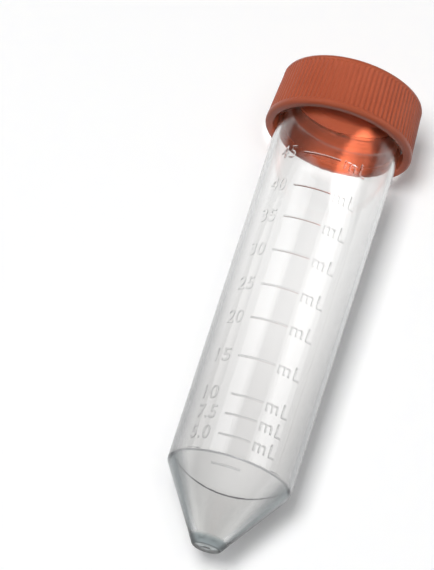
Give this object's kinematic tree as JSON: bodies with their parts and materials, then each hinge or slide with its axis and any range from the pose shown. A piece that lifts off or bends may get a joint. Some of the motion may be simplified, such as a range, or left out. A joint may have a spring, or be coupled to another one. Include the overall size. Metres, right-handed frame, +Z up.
{
  "type": "50 ml conical tube",
  "caption": "Clear conical-bottom laboratory tube with raised volume lines and a ribbed orange screw cap, lying on its side.",
  "frame": {"origin": "on the surface that the tube lies on, under the middle of its length and on its plane of symmetry", "axes": "+X along the tube from the tip of its cone to its cap, +Z up, +Y across. The tube's own axis lies in the XZ plane and rises towards the cap by 2.25 degrees, because the cap's lip is wider than the cone's shoulder"},
  "size_m": [0.118, 0.0354, 0.0353],
  "materials": {
    "clear_plastic": "clear, polished, faintly grey-green at thick edges",
    "orange_plastic": "satin moulded polyethylene"
  },
  "bodies": {
    "tube": {"tube": "clear_plastic"},
    "cap": {"cap": "orange_plastic"}
  },
  "joints": [
    {"name": "cap_lift", "type": "slide", "parent": "tube", "child": "cap", "axis": [0.9992, 0, 0.0393], "range_m": [0, 0.03]}
  ]
}
